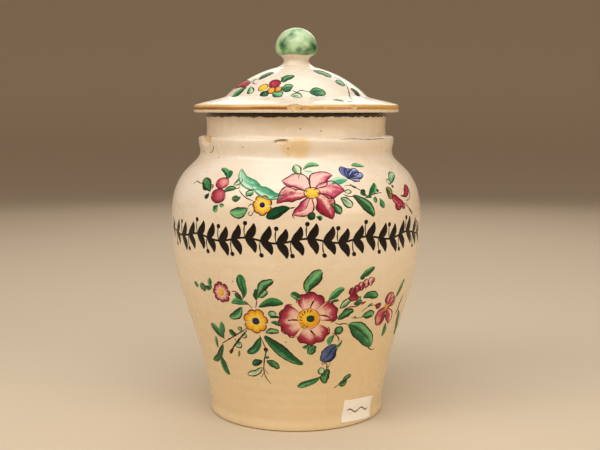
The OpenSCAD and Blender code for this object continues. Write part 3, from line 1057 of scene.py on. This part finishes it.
def lower_spray(brush):
    """The spray on the belly: a rose between a yellow flower, pink flowers and a blue bud."""
    leaf, line, oval = brush.leaf, brush.line, brush.oval
    lobe = partial(leaf, layer="petals")
    leaves = "leaves"
    # rose
    rose = (-0.3, 0)
    for heading, reach, spread, scallops, pale in (
        (188, 18.4, 53, 5, 0.12),
        (86, 17.8, 40, 3, 0.14),
        (18, 18.8, 31, 3, 0.14),
        (-72, 18.4, 47, 4, 0.14),
    ):
        brush.fan("petals", rose, heading, reach, spread, CRIMSON, 0.3, scallops, RED, pale)
    for slit in (
        [(-7, -1), (-10.5, -0.6), (-14.5, -1.2)],
        [(0.6, 7), (1.6, 9.4), (3.6, 13)],
        [(6.6, 2.6), (10.4, 2.2), (14.4, 0.6)],
        [(0.6, -7), (2, -9), (4.4, -11.4)],
    ):
        line(slit, 1, RED)
    oval("hearts", rose, 13.6, 13.6, YELLOW, 0.45, ORANGE)
    for i in range(9):
        a = math.radians(90 + 22 * i)
        lean = a - 0.3
        ray = [(4.0 * math.cos(a), 4.0 * math.sin(a)), (6.6 * math.cos(lean), 6.6 * math.sin(lean))]
        line(ray, 0.7, OCHRE_INK, layer="hatching")
    oval("eyes", (1, 0.2), 5.4, 5.2, LEAF_DARK, 0.75, height=LINE + 0.14)
    # leaves round the rose
    leaf((-1.2, 17.4), (9.4, 31.6), 7.8, LEAF, BROWN, 0.45, bend=0.14)
    leaf((-3.8, 14.4), (-12.2, 17.6), 5, dark=0.6, full=0.55)
    leaf((12.6, 11), (24, 20.4), 5.4, dark=0.5, bend=0.12, full=0.55)
    leaf((14.4, 11.4), (20, 12.2), 2.4, LEAF_DARK)
    leaf((19.2, -0.8), (29.9, 5.6), 4.6, LEAF, GREEN, 0.6, bend=0.12)
    leaf((20.6, 6.6), (28, 13), 3.6, LEAF_PALE, GREEN, 0.4, full=0.55)
    leaf((25.6, -4), (39.8, -20), 10.4, LEAF, GREEN, 0.5, bend=0.12, full=0.46, rib=GREEN)
    line([(38.6, -18.6), (40.8, -20.4), (42.6, -20.8), (43.6, -19.8)])
    line([(17.4, -2.8), (20.2, -3.6), (23.6, -3.2), (26.2, -3.8)], 0.6)
    oval(leaves, (19.8, -7.7), 5.4, 5.4, LEAF, 0.45, GREEN)
    leaf((17, -10.6), (13, -17.8), 4.2, dark=0.5, bend=-0.1)
    leaf((4.8, -18.6), (0, -24.2), 4.6, LEAF, GREEN, 0.5, bend=-0.1)
    leaf((0.6, -17.6), (-4.6, -19.4), 3.2)
    leaf((-26.4, 1), (-19, 1), 2.2, LEAF_DARK, dark=0.8, bend=0.05)
    # blue bud and its twig
    line([(15.4, -9.4), (19.2, -12.2), (20, -15.6)], 0.6, RED)
    leaf((22.4, -13.2), (17.4, -20.6), 2.4, full=0.6)
    lobe((18.8, -18.6), (8.8, -29.4), 9, NAVY, NAVY, 0.42, bend=-0.06, full=0.42, blunt=0.6)
    line([(9.4, -27.6), (9, -31), (11, -30), (12.4, -33), (14.4, -29)], 0.45, OLIVE)
    line([(12.2, -30), (11, -36), (9.6, -39.4)], 0.45, OLIVE)
    oval(leaves, (8.2, -35.4), 4, 4.4, LEAF_PALE, 0.3, BROWN)
    leaf((13.2, -33.8), (10.8, -44), 4.8, LEAF, BROWN, bend=-0.1)
    leaf((8.4, -38.6), (-8.2, -45.8), 5, dark=0.6, bend=0.08, full=0.55)
    leaf((22.4, -43.6), (28.2, -38), 2.6, LEAF, GREEN)
    leaf((20, -44.6), (25.2, -41.8), 3.6, LEAF, GREEN, bend=-0.1)
    line([(16.6, -47.4), (18.8, -45.6), (21, -44.8)], pigment=OLIVE)
    # buds and twigs to the right
    for i in range(5):
        x, y = 28.6 + 3.1 * i, 17.0 + 1.7 * i
        lobe((x, y - 1.6), (x + 1.2, y + 4.2), 4.4, CRIMSON, RED, 0.9 - 0.14 * i, full=0.6)
    lobe((33, 14.8), (27, 15.6), 4.4, CRIMSON, RED, 0.85)
    leaf((33.6, 27), (44, 34.6), 4.6, dark=0.65, bend=0.06)
    leaf((34, 26.4), (37.4, 29.4), 4, LEAF_DARK)
    leaf((36, 14.4), (45.8, 15.4), 4.4, LEAF, GREEN, bend=0.12)
    line([(23.4, 6.4), (27.4, 8.2), (31, 8.4), (35.6, 11.4)], 0.6, RED)
    leaf((29.6, 9.6), (35.4, 11.2), 2.6, LEAF, OLIVE)
    leaf((31.6, 10.2), (34.6, 15), 1.8, LEAF_PALE, OLIVE)
    lobe((34.6, 9.4), (38, 11.6), 1.8, BERRY, dark=0.9)
    line([(27.6, 1.2), (31, 0.6), (35.6, 1.2)], 0.4, OLIVE)
    oval(leaves, (30.6, 1.4), 1.8, 1.2, LEAF, 0.4)
    leaf((34.8, 1), (42.8, 2.6), 5.2, LEAF, GREEN, 0.45, bend=0.14, full=0.6)
    line([(34.6, 4.6), (39.6, 8.4), (44.8, 9.6)], 0.45, OLIVE)
    leaf((38.6, 7.6), (42.4, 10.4), 2)
    lobe((43.6, 8.8), (47.6, 8.6), 3.4, BERRY, RED, 0.9, bend=0.05, full=0.6)
    # side flower
    lobe((50.4, 7), (55.4, 18.4), 9, CRIMSON, RED, 0.5, bend=-0.1)
    lobe((51.4, 8), (45.8, -4.6), 9.4, CRIMSON, RED, 0.68, bend=-0.12)
    lobe((51.6, 7), (52.8, -3.2), 6.4, CRIMSON, RED, 0.5)
    lobe((51.6, 9), (57.4, 15.4), 5.6, CRIMSON, RED, bend=-0.1)
    oval("hearts", (51.2, 7.8), 4, 6.2, ORANGE, 0.3)
    leaf((51, -2.2), (48.6, -12), 4.6, dark=0.6)
    leaf((58, 14.6), (63.8, 27.4), 4.2, dark=0.6, bend=0.05, full=0.4)
    line([(57.6, 3), (60, 9.6), (62.6, 16.4)], 1.1, GREEN)
    leaf((59.4, 6), (56.6, -11), 4.4, LEAF, GREEN, 0.6, bend=0.08)
    # yellow flower
    brush.blossom("blossoms", (-35.3, -1.5), 8.1, 7, YELLOW, NAVY, OCHRE_INK, 0.32, 10)
    leaf((-33.8, 8), (-16.6, 10.6), 5.8, LEAF_DARK, dark=0.45)
    leaf((-34.4, 15), (-23.6, 26), 4.8, LEAF, BROWN, 0.5, bend=0.12)
    leaf((-35.6, 12.6), (-35.6, 20.4), 4.6, dark=0.75, bend=-0.1)
    leaf((-32.8, 14), (-27.2, 18.4), 3, LEAF_PALE, OLIVE, 0.6)
    line([(-35.4, 7), (-35, 9.6), (-34.6, 13.4)], 0.45, RED)
    line([(-37.8, 7), (-40.2, 10), (-43.4, 12.6)], 0.45, RED)
    leaf((-43.8, 12.8), (-47, 30.2), 7, dark=0.6, bend=-0.1, full=0.6, rib=GREEN)
    leaf((-43.6, 12.6), (-49, 18), 3.8, LEAF_DARK)
    leaf((-39.8, 9.2), (-51.6, 10.8), 4.6, dark=0.5, bend=-0.14, full=0.55)
    leaf((-44.4, 8), (-52.4, 0.8), 4.6, LEAF, GREEN, 0.4)
    oval(leaves, (-24.4, 3.4), 4.6, 3.8, LEAF_PALE, 0.4, GREEN)
    leaf((-25.6, -2), (-18.6, -4.8), 3.6, dark=0.6)
    leaf((-28.8, -9.6), (-20, -8.6), 3.2, LEAF, BROWN, 0.3)
    leaf((-29.6, -10.8), (-4.4, -31), 6.2, LEAF, GREEN, 0.68, bend=-0.06, full=0.42)
    leaf((-32, -11.6), (-41, -23.2), 5.8, dark=0.7, bend=0.12, full=0.55)
    line([(-33, -10.6), (-30.6, -16), (-28.8, -20.6), (-29.8, -28), (-29.4, -38), (-25.4, -44.6)], 0.6)
    line([(-29.6, -36), (-32, -40)], 0.35)
    line([(-29.5, -34), (-27, -38)], 0.35)
    oval(leaves, (-28.7, -20.8), 3.2, 3.2, OLIVE, 0.95)
    leaf((-31, -28.4), (-37, -31.8), 3.6, LEAF_DARK, GREEN, bend=-0.1)
    leaf((-28.4, -28.4), (-20.4, -34), 4, LEAF, BROWN)
    leaf((-29.8, -27), (-26.4, -25.6), 2.8)
    leaf((-31, -33), (-41, -37.6), 3.4, LEAF_PALE, OLIVE, 0.15)
    # twigs to the left
    line([(-41, -6.2), (-48, -10.6), (-57.6, -16.8)], 0.7)
    line([(-41, -7.4), (-46.4, -14), (-51.6, -21.6)], 1)
    lobe((-50.2, -19.6), (-52.6, -23.6), 2.8, BROWN, dark=0.8, bend=0, full=0.6)
    line([(-47.8, -16.4), (-49.6, -12.8)])
    leaf((-56, -14), (-65.6, -3), 6.2, dark=0.7, bend=-0.06, full=0.55)
    leaf((-56.6, -12.4), (-57.4, -2), 5.4, dark=0.5)
    leaf((-47.6, -10.8), (-53.4, -7.4), 4.6, LEAF_DARK)
    leaf((-44.4, -7.4), (-46.6, -5.2), 2.6, LEAF_PALE, OLIVE)
    leaf((-57.2, -16.4), (-63.6, -28.2), 5.2, LEAF_DARK, dark=0.6)
    leaf((-60.4, -20), (-61.6, -11.6), 3.4)
    leaf((-58.6, -23.4), (-52.8, -38), 6.4, dark=0.7, bend=-0.14, full=0.55)
    leaf((-44.8, -16.4), (-49, -17.6), 3.6, LEAF_PALE, OLIVE, 0.4)
    leaf((-41.6, -10.2), (-44.6, -12), 2.4, LEAF_PALE, OLIVE, 0.4)
    leaf((-46.6, -21), (-47, -25.6), 2, OLIVE, dark=0.5)
    # pink flower
    brush.blossom("blossoms", (-58.1, 18), 6.6, 8, CRIMSON, YELLOW, RED, 0.38, 0)
    line([(-45, 14.4), (-48.6, 18.4), (-51.4, 18.6)], 0.6, RED)
    leaf((-64.4, 20.4), (-65.8, 28), 4)
    leaf((-64.6, 20.6), (-68.8, 22.4), 4, LEAF_DARK)
    leaf((-68, 20), (-71.8, 24), 4.4, LEAF, BROWN)
    leaf((-73, 22.6), (-76, 25), 4)


def lid_spray(brush):
    """The spray on the lid: a red and a yellow flower head in the middle, and twigs either side."""
    leaf, line, oval = brush.leaf, brush.line, brush.oval
    heads = "heads"
    oval(heads, (-1.6, -3.4), 5.2, 6.2, ORANGE, 0.2, BROWN)
    oval(heads, (2.6, -2.8), 4.4, 5.6, ORANGE, 0.35, BROWN)
    oval(heads, (-7, -1.6), 6, 7, YELLOW, 0.35, BROWN)
    oval(heads, (0.4, 0.8), 7.4, 9.4, BERRY, 0.75, BROWN, 20, LINE - 0.02)
    leaf((-17.6, -0.8), (-25.6, -0.4), 8.4, BERRY, RED, 0.7, bend=-0.1, blunt=0.4, layer=heads)
    oval(heads, (-15.4, 5.2), 6.4, 8, ORANGE, 0.35, BROWN)
    leaf((-9.6, 3.4), (-0.6, 8), 6.2, LEAF_DARK, GREEN, 0.5)
    line([(-20.4, -3.4), (-16, 0.6), (-12.6, 3.4), (-9, 3.4)], 0.6, GREEN)
    line([(-12, 3.2), (-13.6, 1.4), (-10.4, 0.8)], 0.6, GREEN)
    leaf((-17.6, -1.8), (-27.4, -7.8), 7.2, LEAF, GREEN, 0.5, bend=-0.1, full=0.55, rib=GREEN)
    leaf((-28.6, -2.6), (-32.4, -7), 3.9, LEAF_DARK)
    leaf((-15.6, -1.2), (-15.6, -6), 4.5, LEAF_PALE, GREEN, 0.5, full=0.6)
    leaf((-5.4, -3.6), (-7.6, -7.4), 5.5, LEAF_DARK, GREEN)
    leaf((-1.4, -6), (5.8, -6.4), 6.7, LEAF, GREEN, 0.4, bend=0.05)
    leaf((4.4, -2.4), (12.2, -1.6), 7.1, LEAF, GREEN, 0.5, bend=0.05)
    leaf((5.4, 1.6), (12.4, 6.2), 5.5, LEAF, GREEN, 0.6)
    line([(3, 1.4), (5, 3), (4.6, 5)], 0.6, GREEN)
    leaf((10.8, -6.6), (18.4, -7.8), 4.7, LEAF_PALE, GREEN, 0.3, rib=GREEN)
    line([(11.6, -3.2), (15, -4.6), (17.6, -3.4), (20.6, -4), (23.4, -4.6)], 0.6, GREEN)
    leaf((23, -4.4), (33.6, -6.4), 7.2, LEAF, GREEN, full=0.45, rib=GREEN, blunt=0.8)
    leaf((25, 9.4), (38.4, 4.8), 7.9, LEAF_DARK, GREEN, 0.4)
    leaf((39.4, 2.6), (46, -0.6), 6.7, LEAF, GREEN, 0.45)
    line([(38, 5), (42, 3.8), (45.6, 0.4)], 0.6, GREEN)
    line([(46.2, 1), (47.8, -2.6), (48.2, -6), (47.8, -9.6)], 0.6, GREEN)
    leaf((50.2, -3.4), (55.6, -6.8), 7.2, LEAF_DARK, GREEN, 0.7)
    line([(55, -6.4), (60, -8.4), (64.4, -9.8)], 1.4, LEAF_DARK)
    leaf((45.8, -10.4), (39, -9.2), 3.9, LEAF, GREEN)
    leaf((47.2, -10.6), (51.8, -10.8), 3, LEAF_DARK)


# Sizes of the garland in millimetres: its stem's steps, waves and half width, and how far its ends taper
BAND_STEP = 9.2
BAND_WAVE = 1.4
BAND_HALF = 0.75
BAND_TAPER = 22
STEM_TAPER = 14

# Its leaves lean SPRIG_LEAN degrees off the stem, and its berries stand BERRY_OUT from it
SPRIG = 10.6
SPRIG_HALF = 2.7
SPRIG_LEAN = 58
BERRY_R = 1.5
BERRY_OUT = 8.6


def garland(brush, height, turn_from, turn_to):
    """A dark running band of leaf sprigs and berries round the front, where pharmacy jars carry a title.

    height is in millimetres, and it runs between two turns in degrees. Its leaves are smaller at its ends.
    """
    wall = brush.wall
    middle = float(np.interp(height * MM, wall.z, wall.s))
    radius = float(np.interp(middle, wall.s, wall.r)) / MM
    start = math.radians(turn_from)
    length = (math.radians(turn_to) - start) * radius
    home = (start, middle)

    def solid(u, v):
        return 0.75 + 0 * u * v

    def stem_at(x):
        return np.array([x, BAND_WAVE * math.sin(2 * math.pi * x / (4 * BAND_STEP))])

    x = np.arange(0, length, 1.2)
    half = BAND_HALF * (0.3 + 0.7 * np.clip(np.minimum(x, length - x) / STEM_TAPER, 0, 1))
    brush.stroke("band", home, np.array([stem_at(place) for place in x]), half, FILL, MANGANESE, solid)
    for i in range(1, int(length / BAND_STEP)):
        at = i * BAND_STEP + dice.uniform(-0.3, 0.3)
        foot = stem_at(at)
        grow = 0.45 + 0.55 * min(1, at / BAND_TAPER, (length - at) / BAND_TAPER)
        for way in (1, -1):
            heading = math.radians(SPRIG_LEAN * way + dice.uniform(-5, 5))
            reach = SPRIG * grow * np.array([math.cos(heading), math.sin(heading)])
            t = np.linspace(0, 1, 16)
            curl = (-0.7 * way * t * (1 - t))[:, None] * np.array([-reach[1], reach[0]])
            width = np.maximum(SPRIG_HALF * grow * np.sin(np.pi * t**0.8) ** 0.7, 0.12)
            thick = dice.uniform(0.45, 0.95)
            spine = foot + t[:, None] * reach + curl
            brush.stroke("band", home, spine, width, OVER, MANGANESE, lambda u, v: thick + 0.25 * v + 0 * u)
        way = 1 if i % 2 else -1
        berry = foot + grow * np.array([0.2, BERRY_OUT * way])
        ring = np.linspace(0.04, 0.96, 9)
        across = 2 * ring - 1
        dot = berry + np.stack([BERRY_R * grow * across, 0 * ring], 1)
        brush.stroke("band", home, dot, BERRY_R * grow * np.sqrt(1 - across**2), OVER, MANGANESE, solid)
        brush.rule("band", home, [foot, foot + [-0.5, 4.0 * way], berry], 0.6, MANGANESE)


def wear(brush):
    """Hairline cracks and dark pits in the glaze, as thin inlaid lines and dots."""
    for crack in (
        [(-13.8, 175.6), (-13.2, 176.8), (-11.6, 177.2), (-4.8, 177.4)],
        [(28, 177.6), (36, 178), (46, 177.8), (57.6, 178.4)],
        [(-53.6, 174.2), (-54, 170.6), (-56, 169)],
    ):
        brush.line(crack, 0.36, MANGANESE, "cracks")
    for pit in (
        (-35, 172.8), (-50.4, 166), (-5.4, 171.8), (2.6, 184.4), (16, 183.2), (-42, 84), (24, 40), (-7, 43)
    ):
        brush.oval("pits", pit, 0.9, 0.8, MANGANESE, 0.9)
    for turn in dice.uniform(60, 300, 26):
        brush.turn = math.radians(turn)
        brush.oval("pits", (0, dice.uniform(20, 180)), dice.uniform(0.5, 1.0), 0.7, MANGANESE, 0.8)


# The middles are the hearts of the pink flower, the rose and the lid's flowers
for prefix, middle, paint in (
    ("upper_spray", (10.3, 142.7), upper_spray),
    ("lower_spray", (8.4, 58.7), lower_spray),
    ("title", (0, 0), partial(garland, height=121.5, turn_from=-80, turn_to=80)),
    ("worn", (0, 0), wear),
):
    jar_brush = Brush(jar_wall, middle)
    paint(jar_brush)
    jar_brush.done(prefix, JAR_BODY)

for side, turn in (("front", 0), ("back", 180)):
    lid_brush = Brush(lid_wall, (-14.5, 212.8), turn)
    lid_spray(lid_brush)
    lid_brush.done(f"lid_{side}", LID_BODY)


# ---------------------------------------------------------------- the paper label

LABEL_TURN = math.radians(43)
LABEL_Z = 9.8 * MM
LABEL_TILT = math.radians(4)
LABEL_HALF_W = 13.0
LABEL_HALF_H = 7.4
LABEL_GLUE = 0.08
LABEL_THICK = 0.13


def sticker():
    """Thin paper on the wall, tilted as it was stuck on, with two corners that have come unstuck."""
    x, y = np.meshgrid(
        np.linspace(-LABEL_HALF_W, LABEL_HALF_W, 41), np.linspace(-LABEL_HALF_H, LABEL_HALF_H, 25)
    )
    u, v = x / LABEL_HALF_W, y / LABEL_HALF_H
    top_right = 1.44 * np.clip(u + v - 1.35, 0, 1) ** 1.5
    bottom_left = 0.8 * np.clip(-u - v - 1.5, 0, 1) ** 1.5
    wrinkle = 0.05 * np.sin(0.9 * x + 2) * np.cos(0.5 * y) ** 2
    back = LABEL_GLUE + top_right + bottom_left + wrinkle
    across = x * math.cos(LABEL_TILT) + y * math.sin(LABEL_TILT)
    up = y * math.cos(LABEL_TILT) - x * math.sin(LABEL_TILT)
    s = np.interp(LABEL_Z, jar_wall.z, jar_wall.s) + up * MM
    az = LABEL_TURN + across * MM / np.interp(s, jar_wall.s, jar_wall.r)
    under = jar_wall.points(az, s, back * MM).reshape(-1, 3)
    top = jar_wall.points(az, s, (back + LABEL_THICK) * MM).reshape(-1, 3)
    sheet = np.stack([x, y, 0 * x], -1).reshape(-1, 3)
    attributes = {"sheet": np.tile(sheet, (2, 1))}
    return mesh_object("label_sheet", np.vstack([top, under]), sheet_faces(*x.shape), paper(), attributes)


label = sticker()
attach(label, JAR_BODY)
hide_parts("paper_label")


# ---------------------------------------------------------------- floor and light

FLOOR_R = 2.6
FLOOR_PROFILE = [
    [0, 0], [0.6, 0], [1.3, 0], [1.9, 0.03], [2.3, 0.2], [2.5, 0.5], [FLOOR_R, 1.0], [FLOOR_R, 1.8]
]
floor_outline = curve_through(np.array(FLOOR_PROFILE), 0.06)
floor_angles = np.linspace(-np.pi, np.pi, 96, endpoint=False)
floor_faces = grid_faces(len(floor_outline), len(floor_angles))
floor = mesh_object("floor", round_points(*rings(floor_outline, floor_angles)), floor_faces, backdrop())


def softbox(name, place, aim, size, watts, colour):
    """A soft rectangular lamp at place, turned towards aim."""
    light = bpy.data.lights.new(name, "AREA")
    light.shape = "RECTANGLE"
    light.size, light.size_y = size
    light.energy = watts
    light.color = colour
    lamp = bpy.data.objects.new(name, light)
    lamp.location = place
    lamp.rotation_euler = (Vector(aim) - Vector(place)).to_track_quat("-Z", "Y").to_euler()
    bpy.context.scene.collection.objects.link(lamp)


softbox("key_softbox", (-0.2, -0.85, 1.15), (0, 0, 0.15), (1.8, 0.6), 10.2, (0.98, 0.98, 1.0))
softbox("top_softbox", (0.1, -0.1, 1.3), (0, 0, 0.15), (1.6, 1.3), 8.4, (0.97, 0.98, 1.0))
softbox("fill_softbox", (1.05, -0.9, 0.6), (0, 0, 0.12), (0.8, 0.8), 6.8, (1.0, 0.84, 0.6))
softbox("left_softbox", (-1.15, -0.6, 0.85), (0, 0, 0.12), (0.7, 0.8), 6.0, (1.0, 0.88, 0.7))
softbox("back_softbox", (0.1, 1.2, 0.8), (0, 0, 0.12), (0.9, 0.6), 3, (1.0, 0.95, 0.86))

world = bpy.data.worlds.new("studio")
bpy.context.scene.world = world
world.use_nodes = True
world.node_tree.nodes["Background"].inputs["Color"].default_value = (1.0, 0.82, 0.62, 1)
world.node_tree.nodes["Background"].inputs["Strength"].default_value = 0.2
bpy.context.scene.view_settings.view_transform = "Standard"
